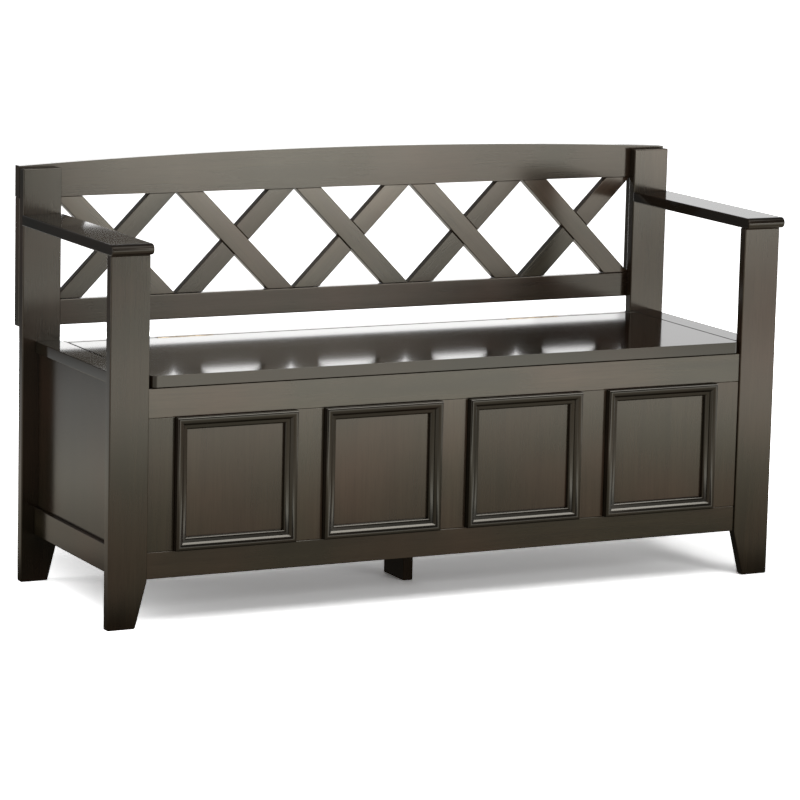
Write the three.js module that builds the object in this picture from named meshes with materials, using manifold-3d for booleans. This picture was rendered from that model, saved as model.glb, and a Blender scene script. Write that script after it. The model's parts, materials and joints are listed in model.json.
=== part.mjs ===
// Wooden storage bench: a hinged seat over a panelled box, board legs, flat armrests
// and a lattice back under an arched crest rail.
// Millimetres, +Z up. The bench faces -Y, X runs along its length, and the origin is
// on the floor under the middle of the bench.

import * as THREE from 'three';
import { mergeVertices } from 'three/addons/utils/BufferGeometryUtils.js';
import Module from 'manifold-3d';

const wasm = await Module();
wasm.setup();

// ---------------------------------------------------------------- driving dimensions

const jointGap = 0.3; // open line left at every joint between two boards

const legs = {
  outerX: 609.5, // outer edges of the legs, and the length of the crest rail, from the middle
  width: 67.2,
  thickness: 18,
  footWidth: 47.5, // the inner edge tapers in to this at the floor
  taperHeight: 77,
  frontHeight: 597.7,
  rearHeight: 691,
};

const depth = 428; // front of the armrests to the back of the crest rail
const arms = { bottom: 598, thickness: 18, innerX: 541, outerX: 612, frontOverhang: 12 };

const back = {
  thickness: 19.7,
  bottom: 427.5,
  openingBottom: 470,
  openingTop: 641.5,
  endTop: 694, // top of the crest rail at its two ends
  crestTop: 709.5, // and at the middle of its arch
};

const lattice = {
  crosses: 5,
  halfSpan: 546.5,
  cutWidth: 49.2, // width of a slat measured along the rail it meets
  frontSetBack: 1, // falling slats, behind the front of the rails
  rearSetBack: 3, // rising slats
  rearFace: 18, // back of both, behind the front of the rails
};

const box = {
  frameSetBack: 4, // front frame, behind the front of the legs
  frameThickness: 18,
  bottom: 78,
  topRailHeight: 47.2,
  bottomRailHeight: 43.4,
  top: 384.2,
  stileWidth: 46.2, // the part of an end stile that shows beside its leg
  muntinWidth: 49.2,
  panels: 4,
  panelSetBack: 3, // panel face, behind the frame's face
  panelThickness: 12,
  sideX: 587, // outer face of the side rails and of the seat's end strips
  sideRailThickness: 18,
  sideRailBottom: 80,
  sideRailTop: 126,
  sidePanelX: 580,
  sidePanelThickness: 12,
  rearY: 170, // back of the box
  rearRailThickness: 18.5,
  rearRailBottom: 337,
  rearPanelThickness: 12,
  floorBottom: 95,
  floorThickness: 9,
  cleatWidth: 18,
};

const seat = { top: 405, thickness: 19, halfWidth: 538.5, stripInnerX: 540.5, cornerRadius: 10 };

const centreFoot = { middleX: 4, thickness: 18, depth: 74.5, braceWidth: 60 };

const hinge = {
  middleX: 330, // each side of the bench's middle
  length: 100,
  drop: 2, // pivot below the seat's top
  lidGap: 4.5, // lid's rear edge to the rail it hangs on
  leafThickness: 1.2,
  leafBottom: 17.5, // below the seat's top
  knuckleRadius: 3,
  boreRadius: 1.75,
  pinRadius: 1.65,
  knuckleGap: 0.3,
  pocket: 0.5, // clearance round the barrel
  sides: 24,
};

const bumper = { radius: 6, x: 480 };

// ---------------------------------------------------------------- derived places

const frontY = -depth / 2 + arms.frontOverhang; // front of the front legs and of the lid
const frontLegBackY = frontY + legs.thickness;
const backFrameY = depth / 2 - back.thickness;
const rearLegBackY = backFrameY - jointGap;
const rearLegY = rearLegBackY - legs.thickness;
const legInnerX = legs.outerX - legs.width;
const frameY = frontY + box.frameSetBack;
const frameBackY = frameY + box.frameThickness;
const panelY = frameY + box.panelSetBack;
const frameHalf = legInnerX - jointGap;
const openingBottom = box.bottom + box.bottomRailHeight;
const openingTop = box.top - box.topRailHeight;
const uprightsWidth = 2 * box.stileWidth + (box.panels - 1) * box.muntinWidth;
const openingWidth = (2 * legInnerX - uprightsWidth) / box.panels;
const openingPitch = openingWidth + box.muntinWidth;
const firstOpeningX = -legInnerX + box.stileWidth;
const seatBottom = seat.top - seat.thickness;
const rearRailY = box.rearY - box.rearRailThickness;
const lidBackY = rearRailY - hinge.lidGap;
const pivotY = rearRailY - hinge.lidGap / 2;
const pivotZ = seat.top - hinge.drop;
const sidePanelInnerX = box.sidePanelX - box.sidePanelThickness;
const floorTop = box.floorBottom + box.floorThickness;

// ---------------------------------------------------------------- materials

const wood = (shade) => new THREE.MeshStandardMaterial({ color: shade, roughness: 0.38, metalness: 0 });
const frameWood = wood(0x3b332b);
const panelWood = wood(0x37302a);
const seatWood = wood(0x2c2722);
const innerWood = wood(0x4a4036);
const hingeMetal = new THREE.MeshStandardMaterial({ color: 0x6e675b, roughness: 0.35, metalness: 1 });
const bumperRubber = new THREE.MeshStandardMaterial({ color: 0x1b1a19, roughness: 0.7, metalness: 0 });

// ---------------------------------------------------------------- helpers

const bench = new THREE.Group();
bench.name = 'storage_bench';

function place(name, geometry, material, group = bench) {
  const mesh = new THREE.Mesh(geometry, material);
  mesh.name = name;
  group.add(mesh);
  return mesh;
}

// A square-edged board between two corners.
function board(name, material, [x0, y0, z0], [x1, y1, z1]) {
  const mesh = place(name, new THREE.BoxGeometry(x1 - x0, y1 - y0, z1 - z0), material);
  mesh.position.set((x0 + x1) / 2, (y0 + y1) / 2, (z0 + z1) / 2);
  return mesh;
}

// An outline seen from the front (X across, Z up), cut from stock that runs from y0 to y1.
function frontCut(outline, y0, y1, curveSegments = 12) {
  const geometry = new THREE.ExtrudeGeometry(outline, { depth: y1 - y0, bevelEnabled: false, curveSegments });
  geometry.rotateX(Math.PI / 2);
  geometry.translate(0, y1, 0);
  return geometry;
}

// An outline seen from the side (Y across, Z up), cut from stock that runs from x0 to x1.
function sideCut(outline, x0, x1, curveSegments = 12) {
  const geometry = new THREE.ExtrudeGeometry(outline, { depth: x1 - x0, bevelEnabled: false, curveSegments });
  geometry.applyMatrix4(new THREE.Matrix4().set(0, 0, 1, x0, 1, 0, 0, 0, 0, 1, 0, 0, 0, 0, 0, 1));
  return geometry;
}

function polygon(points) {
  return new THREE.Shape(points.map(([x, y]) => new THREE.Vector2(x, y)));
}

function toSolid(geometry) {
  const bare = geometry.clone();
  bare.deleteAttribute('normal');
  bare.deleteAttribute('uv');
  const merged = mergeVertices(bare, 1e-4);
  return new wasm.Manifold(new wasm.Mesh({
    numProp: 3,
    vertProperties: new Float32Array(merged.attributes.position.array),
    triVerts: new Uint32Array(merged.index.array),
  }));
}

function toGeometry(solid) {
  const mesh = solid.getMesh();
  const geometry = new THREE.BufferGeometry();
  geometry.setAttribute('position', new THREE.BufferAttribute(mesh.vertProperties, mesh.numProp));
  geometry.setIndex(new THREE.BufferAttribute(mesh.triVerts, 1));
  geometry.computeVertexNormals();
  return geometry;
}

function blockSolid([x0, y0, z0], [x1, y1, z1]) {
  const geometry = new THREE.BoxGeometry(x1 - x0, y1 - y0, z1 - z0);
  geometry.translate((x0 + x1) / 2, (y0 + y1) / 2, (z0 + z1) / 2);
  return toSolid(geometry);
}

// A straight bar or tube along X, round the line at y, z.
function roundBar(radius, x0, x1, y, z, boreRadius = 0) {
  const ring = (r) => [new THREE.Vector2(r, x0), new THREE.Vector2(r, x1)];
  const axis = boreRadius || 0;
  const [outerStart, outerEnd] = ring(radius);
  const [innerStart, innerEnd] = ring(axis);
  const profile = [innerStart, outerStart, outerEnd, innerEnd];
  if (boreRadius) profile.push(innerStart.clone());
  const geometry = new THREE.LatheGeometry(profile, hinge.sides);
  geometry.rotateZ(-Math.PI / 2); // the lathe's own axis is Y
  geometry.translate(0, y, z);
  return geometry;
}

const sides = [
  { label: 'left', sign: -1 },
  { label: 'right', sign: 1 },
];

// ---------------------------------------------------------------- legs and armrests

function legOutline(sign, height) {
  const footX = legs.outerX - legs.footWidth;
  return polygon([
    [sign * legs.outerX, 0],
    [sign * footX, 0],
    [sign * legInnerX, legs.taperHeight],
    [sign * legInnerX, height],
    [sign * legs.outerX, height],
  ]);
}

// The front end of an armrest is a half round.
function armOutline() {
  const radius = arms.thickness / 2;
  const noseY = -depth / 2 + radius;
  const outline = new THREE.Shape();
  outline.moveTo(rearLegY - jointGap, arms.bottom);
  outline.lineTo(rearLegY - jointGap, arms.bottom + arms.thickness);
  outline.lineTo(noseY, arms.bottom + arms.thickness);
  outline.absarc(noseY, arms.bottom + radius, radius, Math.PI / 2, (3 * Math.PI) / 2, false);
  outline.closePath();
  return outline;
}

for (const { label, sign } of sides) {
  place(`front_${label}_leg`, frontCut(legOutline(sign, legs.frontHeight), frontY, frontLegBackY), frameWood);
  place(`rear_${label}_leg`, frontCut(legOutline(sign, legs.rearHeight), rearLegY, rearLegBackY), frameWood);
  const [armX0, armX1] = sign < 0 ? [-arms.outerX, -arms.innerX] : [arms.innerX, arms.outerX];
  place(`${label}_armrest`, sideCut(armOutline(), armX0, armX1, 14), frameWood);
}

// ---------------------------------------------------------------- back frame

function crestOutline() {
  const rise = back.crestTop - back.endTop;
  const radius = (legs.outerX ** 2 + rise ** 2) / (2 * rise);
  const halfAngle = Math.asin(legs.outerX / radius);
  const centreZ = back.crestTop - radius;
  const outline = new THREE.Shape();
  outline.moveTo(-legs.outerX, back.openingTop);
  outline.lineTo(legs.outerX, back.openingTop);
  outline.lineTo(legs.outerX, back.endTop);
  outline.absarc(0, centreZ, radius, Math.PI / 2 - halfAngle, Math.PI / 2 + halfAngle, false);
  outline.closePath();
  return outline;
}

const backFrameBackY = backFrameY + back.thickness;
const stileInnerX = lattice.halfSpan + 2 * jointGap;
place('crest_rail', frontCut(crestOutline(), backFrameY, backFrameBackY, 48), frameWood);
board('lower_back_rail', frameWood,
  [-lattice.halfSpan - jointGap, backFrameY, back.bottom],
  [lattice.halfSpan + jointGap, backFrameBackY, back.openingBottom]);
for (const { label, sign } of sides) {
  const edges = [sign * stileInnerX, sign * legs.outerX].sort((a, b) => a - b);
  board(`${label}_back_stile`, frameWood,
    [edges[0], backFrameY, back.bottom],
    [edges[1], backFrameBackY, back.openingTop - jointGap]);
}

// Each cross is a falling slat halved over a rising one, cut off level at both rails.
// slant is +1 for a slat that rises to the right, extra widens the outline along the rail.
function slatOutline(cellX, slant, extra = 0) {
  const pitch = (2 * lattice.halfSpan) / lattice.crosses;
  const run = pitch - lattice.cutWidth;
  const bottomX = slant > 0 ? cellX : cellX + run;
  const topX = slant > 0 ? cellX + run : cellX;
  const low = back.openingBottom + jointGap;
  const high = back.openingTop - jointGap;
  const inset = extra ? -extra : jointGap / 2;
  return polygon([
    [bottomX + inset, low],
    [bottomX + lattice.cutWidth - inset, low],
    [topX + lattice.cutWidth - inset, high],
    [topX + inset, high],
  ]);
}

function latticeSlats() {
  const pitch = (2 * lattice.halfSpan) / lattice.crosses;
  const fallingY = backFrameY + lattice.frontSetBack;
  const risingY = backFrameY + lattice.rearSetBack;
  const slatBackY = backFrameY + lattice.rearFace;
  const halvingY = (fallingY + slatBackY) / 2;
  for (let i = 0; i < lattice.crosses; i += 1) {
    const cellX = -lattice.halfSpan + i * pitch;
    const falling = toSolid(frontCut(slatOutline(cellX, -1), fallingY, slatBackY));
    const rising = toSolid(frontCut(slatOutline(cellX, 1), risingY, slatBackY));
    const risingSlot = toSolid(frontCut(slatOutline(cellX, 1, jointGap), halvingY, slatBackY + 1));
    const fallingSlot = toSolid(frontCut(slatOutline(cellX, -1, jointGap), risingY - 1, halvingY + jointGap));
    place(`falling_slat_${i + 1}`, toGeometry(falling.subtract(risingSlot)), frameWood);
    place(`rising_slat_${i + 1}`, toGeometry(rising.subtract(fallingSlot)), frameWood);
  }
}
latticeSlats();

// ---------------------------------------------------------------- front frame and panels

board('front_top_rail', frameWood, [-frameHalf, frameY, openingTop], [frameHalf, frameBackY, box.top]);
board('front_bottom_rail', frameWood, [-frameHalf, frameY, box.bottom], [frameHalf, frameBackY, openingBottom]);

const uprightNames = ['left_front_stile', 'left_muntin', 'centre_muntin', 'right_muntin', 'right_front_stile'];
uprightNames.forEach((name, i) => {
  const x1 = i < box.panels ? firstOpeningX + i * openingPitch : frameHalf;
  const x0 = i > 0 ? firstOpeningX + i * openingPitch - box.muntinWidth : -frameHalf;
  board(name, frameWood,
    [x0, frameY, openingBottom + jointGap], [x1, frameBackY, openingTop - jointGap]);
});

// Section of the raised moulding. Distance runs inwards from the outer edge, height is
// measured from the panel's face. A tall rounded outer edge falls in a flat slope and a
// steep one to a small step, then over a low round to the panel.
function mouldingSection() {
  const arc = (x, y, rx, ry, from, to, steps) => {
    const points = [];
    for (let i = 0; i <= steps; i += 1) {
      const angle = THREE.MathUtils.degToRad(from + ((to - from) * i) / steps);
      points.push([x - rx * Math.cos(angle), y + ry * Math.sin(angle)]);
    }
    return points;
  };
  return [
    [0, 0],
    ...arc(3.3, 11.2, 3.3, 3.3, 0, 88, 6), // outer round, 14.5 high
    [6.2, 14.15],
    [8.8, 13.4],
    [10.6, 12.2],
    [12.9, 9.9], // foot of the steep slope
    [13.1, 8.1], // foot of the step
    ...arc(15.9, 3.2, 4.6, 4.2, 100, 180, 6), // inner round
    [20.5, 0],
  ];
}

// Sweeps the section round a rectangle with mitred corners. centreX and centreZ are the
// middle of the rectangle, baseY is the plane it is glued to, and it grows towards -Y.
function mouldingRing(centreX, centreZ, width, height, baseY) {
  const section = mouldingSection();
  const corners = [[-1, -1], [1, -1], [1, 1], [-1, 1]];
  const positions = [];
  const index = [];
  corners.forEach(([signX, signZ], corner) => {
    const next = (corner + 1) % corners.length;
    section.forEach(([inward, up], i) => {
      positions.push(centreX + signX * (width / 2 - inward), baseY - up, centreZ + signZ * (height / 2 - inward));
      const j = (i + 1) % section.length;
      const [a, b] = [corner * section.length + i, next * section.length + i];
      const [c, d] = [corner * section.length + j, next * section.length + j];
      index.push(a, b, c, b, d, c);
    });
  });
  const geometry = new THREE.BufferGeometry();
  geometry.setAttribute('position', new THREE.Float32BufferAttribute(positions, 3));
  geometry.setIndex(index);
  geometry.computeVertexNormals();
  return geometry;
}

for (let i = 0; i < box.panels; i += 1) {
  const x0 = firstOpeningX + i * openingPitch + jointGap;
  const x1 = x0 + openingWidth - 2 * jointGap;
  const [z0, z1] = [openingBottom + jointGap, openingTop - jointGap];
  board(`front_panel_${i + 1}`, panelWood, [x0, panelY, z0], [x1, panelY + box.panelThickness, z1]);
  const ring = mouldingRing((x0 + x1) / 2, (z0 + z1) / 2, x1 - x0, z1 - z0, panelY - jointGap);
  place(`panel_moulding_${i + 1}`, ring, frameWood);
}

// ---------------------------------------------------------------- sides of the box

for (const { label, sign } of sides) {
  const span = (inner, outer) => (sign < 0 ? [-outer, -inner] : [inner, outer]);
  const [y0, y1] = [frontLegBackY + jointGap, rearLegY - jointGap];
  const [railX0, railX1] = span(box.sideX - box.sideRailThickness, box.sideX);
  board(`${label}_side_rail`, frameWood, [railX0, y0, box.sideRailBottom], [railX1, y1, box.sideRailTop]);
  const [panelX0, panelX1] = span(sidePanelInnerX, box.sidePanelX);
  board(`${label}_side_panel`, panelWood,
    [panelX0, y0, box.sideRailTop + jointGap], [panelX1, y1, seatBottom - jointGap]);
  const [stripX0, stripX1] = span(seat.stripInnerX, box.sideX);
  board(`${label}_seat_end_strip`, seatWood, [stripX0, y0, seatBottom], [stripX1, y1, seat.top]);
}

// ---------------------------------------------------------------- back and floor of the box

// Pockets that keep the two hinge barrels clear of the wood, as solids to cut away.
function hingePockets() {
  const reach = hinge.knuckleRadius + hinge.pocket;
  const half = hinge.length / 2 + 2;
  const low = pivotZ - reach;
  return [-hinge.middleX, hinge.middleX].map((x) => blockSolid(
    [x - half, pivotY - reach, low],
    [x + half, pivotY + reach, seat.top + reach],
  ));
}

const rearHalf = sidePanelInnerX - jointGap;
const railHalf = seat.stripInnerX - jointGap;
let rearRail = blockSolid([-railHalf, rearRailY, box.rearRailBottom], [railHalf, box.rearY, seat.top]);
for (const pocket of hingePockets()) rearRail = rearRail.subtract(pocket);
place('rear_seat_rail', toGeometry(rearRail), seatWood);

board('rear_panel', panelWood,
  [-rearHalf, box.rearY - box.rearPanelThickness, openingBottom + jointGap],
  [rearHalf, box.rearY, box.rearRailBottom - jointGap]);
board('rear_bottom_rail', frameWood,
  [-rearHalf, rearRailY, box.bottom], [rearHalf, box.rearY, openingBottom]);

const floorHalf = box.sideX - box.sideRailThickness - jointGap;
const floorFrontY = frameBackY + jointGap;
const floorBackY = rearRailY - jointGap;
const cleatTop = box.floorBottom - jointGap;
board('bottom_panel', innerWood,
  [-floorHalf, floorFrontY, box.floorBottom], [floorHalf, floorBackY, floorTop]);
board('front_bottom_cleat', innerWood,
  [-floorHalf, floorFrontY, box.sideRailBottom], [floorHalf, floorFrontY + box.cleatWidth, cleatTop]);
board('rear_bottom_cleat', innerWood,
  [-floorHalf, floorBackY - box.cleatWidth, box.sideRailBottom], [floorHalf, floorBackY, cleatTop]);
board('centre_brace', innerWood,
  [centreFoot.middleX - centreFoot.braceWidth / 2, floorFrontY + box.cleatWidth + jointGap, box.sideRailBottom],
  [centreFoot.middleX + centreFoot.braceWidth / 2, floorBackY - box.cleatWidth - jointGap, cleatTop]);
board('centre_foot', frameWood,
  [centreFoot.middleX - centreFoot.thickness / 2, -centreFoot.depth / 2, 0],
  [centreFoot.middleX + centreFoot.thickness / 2, centreFoot.depth / 2, box.sideRailBottom - jointGap]);

// ---------------------------------------------------------------- lid

function lidOutline() {
  const r = seat.cornerRadius;
  const outline = new THREE.Shape();
  outline.moveTo(-seat.halfWidth, lidBackY);
  outline.lineTo(-seat.halfWidth, frontY + r);
  outline.absarc(-seat.halfWidth + r, frontY + r, r, Math.PI, 1.5 * Math.PI, false);
  outline.lineTo(seat.halfWidth - r, frontY);
  outline.absarc(seat.halfWidth - r, frontY + r, r, 1.5 * Math.PI, 2 * Math.PI, false);
  outline.lineTo(seat.halfWidth, lidBackY);
  outline.closePath();
  return outline;
}

const lidBlank = new THREE.ExtrudeGeometry(lidOutline(), {
  depth: seat.thickness, bevelEnabled: false, curveSegments: 8,
});
lidBlank.translate(0, 0, seatBottom);
let lid = toSolid(lidBlank);
for (const pocket of hingePockets()) lid = lid.subtract(pocket);
place('lid', toGeometry(lid), seatWood);

// ---------------------------------------------------------------- hinges

// One leaf: a plate on the wood's edge and its share of the barrel, joined by short tabs.
// knuckles lists the start and end of each knuckle along the hinge, from 0 to its length.
function hingeLeaf(startX, plateY, knuckles) {
  const plateTop = pivotZ - hinge.knuckleRadius - 0.4;
  const tabTop = pivotZ - 2;
  const plateBackY = plateY + hinge.leafThickness;
  let leaf = blockSolid([startX, plateY, seat.top - hinge.leafBottom], [startX + hinge.length, plateBackY, plateTop]);
  for (const [from, to] of knuckles) {
    const [x0, x1] = [startX + from, startX + to];
    leaf = leaf.add(blockSolid([x0, plateY, plateTop - 1], [x1, plateBackY, tabTop]));
    leaf = leaf.add(toSolid(roundBar(hinge.knuckleRadius, x0, x1, pivotY, pivotZ, hinge.boreRadius)));
  }
  return toGeometry(leaf);
}

for (const { label, sign } of sides) {
  const startX = sign * hinge.middleX - hinge.length / 2;
  const third = hinge.length / 3;
  const slack = hinge.knuckleGap / 2;
  const lidPlateY = lidBackY + jointGap;
  const boxPlateY = rearRailY - jointGap - hinge.leafThickness;
  place(`${label}_hinge_lid_leaf`, hingeLeaf(startX, lidPlateY, [[third + slack, 2 * third - slack]]), hingeMetal);
  place(`${label}_hinge_box_leaf`,
    hingeLeaf(startX, boxPlateY, [[0, third - slack], [2 * third + slack, hinge.length]]), hingeMetal);
  place(`${label}_hinge_pin`,
    roundBar(hinge.pinRadius, startX - 1, startX + hinge.length + 1, pivotY, pivotZ), hingeMetal);
}

// ---------------------------------------------------------------- bumpers under the lid

for (const { label, sign } of sides) {
  const height = seatBottom - box.top - 2 * jointGap;
  const pad = new THREE.CylinderGeometry(bumper.radius, bumper.radius, height, 24);
  const mesh = place(`${label}_lid_bumper`, pad, bumperRubber);
  mesh.rotation.x = Math.PI / 2; // a cylinder's own axis is Y
  mesh.position.set(sign * bumper.x, frameY + box.frameThickness / 2, box.top + jointGap + height / 2);
}

export default bench;
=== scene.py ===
import json
import math

import bmesh
import bpy
from mathutils import Matrix, Vector


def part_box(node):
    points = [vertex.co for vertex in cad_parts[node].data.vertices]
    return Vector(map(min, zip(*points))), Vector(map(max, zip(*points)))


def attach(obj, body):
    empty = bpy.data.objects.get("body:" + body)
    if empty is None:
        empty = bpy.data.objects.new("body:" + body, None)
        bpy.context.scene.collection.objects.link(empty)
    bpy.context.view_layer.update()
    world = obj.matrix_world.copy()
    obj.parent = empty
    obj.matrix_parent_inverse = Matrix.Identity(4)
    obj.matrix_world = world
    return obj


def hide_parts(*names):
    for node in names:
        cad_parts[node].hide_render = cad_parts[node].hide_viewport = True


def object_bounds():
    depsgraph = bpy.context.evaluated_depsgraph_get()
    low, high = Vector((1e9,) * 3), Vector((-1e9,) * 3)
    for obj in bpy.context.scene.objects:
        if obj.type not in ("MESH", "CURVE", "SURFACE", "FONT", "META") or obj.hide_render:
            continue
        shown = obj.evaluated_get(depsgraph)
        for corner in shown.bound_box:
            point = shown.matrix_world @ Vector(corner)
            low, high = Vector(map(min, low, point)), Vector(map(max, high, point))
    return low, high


# Storage bench: stained boards, moulded front panels, lattice back and a glossy hinged seat.
# Everything is in metres, in the frame's own axes: the bench faces -Y and stands on z = 0.

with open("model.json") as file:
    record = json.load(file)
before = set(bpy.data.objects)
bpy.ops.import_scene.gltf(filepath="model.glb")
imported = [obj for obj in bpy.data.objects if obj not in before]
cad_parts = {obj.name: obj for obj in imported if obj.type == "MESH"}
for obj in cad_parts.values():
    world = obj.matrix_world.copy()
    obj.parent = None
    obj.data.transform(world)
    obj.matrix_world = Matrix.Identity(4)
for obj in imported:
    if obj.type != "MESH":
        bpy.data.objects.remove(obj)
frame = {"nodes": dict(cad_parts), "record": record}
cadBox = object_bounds()
print("frame loaded:", len(frame["nodes"]), "nodes")

mm = 0.001
weldGap = 0.01 * mm  # points closer than this are one point
flatAngle = math.radians(0.04)  # faces that turn less than this are one face
sharpEdge = math.radians(30)  # edges that turn more than this are rounded or kept crisp


# ---- small node helpers

def addNode(tree, kind, **settings):
    node = tree.nodes.new(kind)
    for key, value in settings.items():
        setattr(node, key, value)
    return node


def mathNode(tree, operation, a, b=None, c=None, clamp=False):
    node = addNode(tree, "ShaderNodeMath", operation=operation, use_clamp=clamp)
    for socket, value in zip(node.inputs, (a, b, c)):
        if value is None:
            continue
        if isinstance(value, (int, float)):
            socket.default_value = value
        else:
            tree.links.new(value, socket)
    return node.outputs[0]


def vectorNode(tree, operation, a, b=None):
    node = addNode(tree, "ShaderNodeVectorMath", operation=operation)
    for socket, value in zip(node.inputs, (a, b)):
        if value is None:
            continue
        if isinstance(value, (tuple, list)):
            socket.default_value = value
        else:
            tree.links.new(value, socket)
    return node.outputs[0]


def rampNode(tree, factor, stops):
    node = addNode(tree, "ShaderNodeValToRGB")
    ramp = node.color_ramp  # every ramp here has two stops, as a new one does
    for element, (position, colour) in zip(ramp.elements, stops):
        element.position = position
        element.color = (*colour, 1) if len(colour) == 3 else colour
    tree.links.new(factor, node.inputs[0])
    return node.outputs[0]


def mixColour(tree, factor, a, b, blend="MIX"):
    node = addNode(tree, "ShaderNodeMix", data_type="RGBA", blend_type=blend)
    sockets = {"Factor": node.inputs[0], "A": node.inputs[6], "B": node.inputs[7]}
    for name, value in (("Factor", factor), ("A", a), ("B", b)):
        if isinstance(value, (int, float)):
            sockets[name].default_value = value
        elif isinstance(value, (tuple, list)):
            sockets[name].default_value = (*value, 1)
        else:
            tree.links.new(value, sockets[name])
    return node.outputs[2]


def noise(tree, vector, scale, detail=3.0, roughness=0.5, distortion=0.0):
    node = addNode(tree, "ShaderNodeTexNoise")
    node.inputs["Scale"].default_value = scale
    node.inputs["Detail"].default_value = detail
    node.inputs["Roughness"].default_value = roughness
    node.inputs["Distortion"].default_value = distortion
    tree.links.new(vector, node.inputs["Vector"])
    return node.outputs["Fac"]


def newGroup(name, inputs, outputs):
    group = bpy.data.node_groups.new(name, "ShaderNodeTree")
    for label, kind, default in inputs:
        socket = group.interface.new_socket(name=label, in_out="INPUT", socket_type=kind)
        if default is not None:
            socket.default_value = default
    for label, kind in outputs:
        group.interface.new_socket(name=label, in_out="OUTPUT", socket_type=kind)
    return group, group.nodes.new("NodeGroupInput"), group.nodes.new("NodeGroupOutput")


# ---- shared shader effects

# noise settings are detail, roughness and, where given, distortion
grainLook = {
    "streakStretch": 0.045, "streakNoise": (4.0, 0.62, 0.35),
    "poreStretch": 0.03, "poreNoise": (2.0, 0.6),
    "cloudScale": 5.0, "cloudNoise": (2.0, 0.5),
}
# noise for the lighter rounded edges: partly rubbed stain, partly a painted highlight
wearAndHighlightLook = {"scale": 38.0, "noise": (4.0, 0.65), "contrast": 2.2, "offset": -0.55}
smudgeLook = {
    "scale": 9.0, "noise": (5.0, 0.6, 0.4), "middle": 0.5,
    "rippleScale": 120.0, "rippleNoise": (2.0, 0.5),
}


# Long soft streaks, a fine pore pattern and a slow change of tone, with the grain along local X.
def buildGrainGroup():
    group, given, out = newGroup(
        "boardGrain",
        [("Vector", "NodeSocketVector", None), ("Streak Width", "NodeSocketFloat", 0.02),
         ("Pore Width", "NodeSocketFloat", 0.0016)],
        [("Streaks", "NodeSocketFloat"), ("Pores", "NodeSocketFloat"), ("Cloud", "NodeSocketFloat")],
    )
    streakScale = mathNode(group, "DIVIDE", 1.0, given.outputs["Streak Width"])
    poreScale = mathNode(group, "DIVIDE", 1.0, given.outputs["Pore Width"])

    def stretched(scale, along):
        squeeze = vectorNode(group, "MULTIPLY", given.outputs["Vector"], (along, 1.0, 1.0))
        node = addNode(group, "ShaderNodeVectorMath", operation="SCALE")
        group.links.new(squeeze, node.inputs[0])
        group.links.new(scale, node.inputs["Scale"])
        return node.outputs[0]

    look = grainLook
    streaks = noise(group, stretched(streakScale, look["streakStretch"]), 1.0, *look["streakNoise"])
    pores = noise(group, stretched(poreScale, look["poreStretch"]), 1.0, *look["poreNoise"])
    cloud = noise(group, given.outputs["Vector"], look["cloudScale"], *look["cloudNoise"])
    group.links.new(streaks, out.inputs["Streaks"])
    group.links.new(pores, out.inputs["Pores"])
    group.links.new(cloud, out.inputs["Cloud"])
    return group


# Where the stain is rubbed thin, partly real wear and partly a painted highlight: the rounded edges of a
# board, broken up by noise.
def buildEdgeGroup():
    group, given, out = newGroup(
        "edgeWearAndHighlight",
        [("Vector", "NodeSocketVector", None), ("Amount", "NodeSocketFloat", 0.5)],
        [("Mask", "NodeSocketFloat")],
    )
    edge = addNode(group, "ShaderNodeAttribute", attribute_name="edgeMask")
    patches = noise(group, given.outputs["Vector"], wearAndHighlightLook["scale"], *wearAndHighlightLook["noise"])
    broken = mathNode(group, "MULTIPLY_ADD", patches, wearAndHighlightLook["contrast"], wearAndHighlightLook["offset"])
    wornAndLit = mathNode(group, "MULTIPLY", broken, edge.outputs["Fac"], clamp=True)
    mask = mathNode(group, "MULTIPLY", wornAndLit, given.outputs["Amount"], clamp=True)
    group.links.new(mask, out.inputs["Mask"])
    return group


# A faint film of dust and finger marks that changes only the gloss.
def buildSmudgeGroup():
    group, given, out = newGroup(
        "lacquerSmudge",
        [("Vector", "NodeSocketVector", None), ("Base", "NodeSocketFloat", 0.3),
         ("Spread", "NodeSocketFloat", 0.08)],
        [("Roughness", "NodeSocketFloat"), ("Ripple", "NodeSocketFloat")],
    )
    look = smudgeLook
    marks = noise(group, given.outputs["Vector"], look["scale"], *look["noise"])
    centred = mathNode(group, "SUBTRACT", marks, look["middle"])
    spread = mathNode(group, "MULTIPLY", centred, given.outputs["Spread"])
    rough = mathNode(group, "ADD", spread, given.outputs["Base"], clamp=True)
    ripple = noise(group, given.outputs["Vector"], look["rippleScale"], *look["rippleNoise"])
    group.links.new(rough, out.inputs["Roughness"])
    group.links.new(ripple, out.inputs["Ripple"])
    return group


grainGroup = buildGrainGroup()
edgeGroup = buildEdgeGroup()
smudgeGroup = buildSmudgeGroup()


def useGroup(tree, group, vector, **values):
    node = addNode(tree, "ShaderNodeGroup", node_tree=group)
    tree.links.new(vector, node.inputs["Vector"])
    for label, value in values.items():
        node.inputs[label.replace("_", " ")].default_value = value
    return node


# ---- materials

stainLook = {
    "dark": (0.0060, 0.0046, 0.0026),
    "light": (0.0190, 0.0148, 0.0085),
    "red": (0.0400, 0.0190, 0.0120),
    # the lighter colour of the rounded edges: partly rubbed-through stain, partly a painted highlight
    "wornAndLit": (0.0500, 0.0380, 0.0260),
    "sheen": (0.70, 0.655, 0.56),
    "glossFrom": 0.42,
    "glossSpread": 0.26,
    "streakWidth": 0.026,
    "streakStops": (0.30, 0.72),
    "redGain": 1.8,
    "redOffset": -0.68,
    "poreWidth": 0.0017,
    "poreStops": (0.30, 0.52),
    "poreShade": (0.80, 0.79, 0.77),
    "toneRange": (0.55, 1.5),
    "poreDepth": 0.00010,
    "rippleDepth": 0.00005,
}
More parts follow.
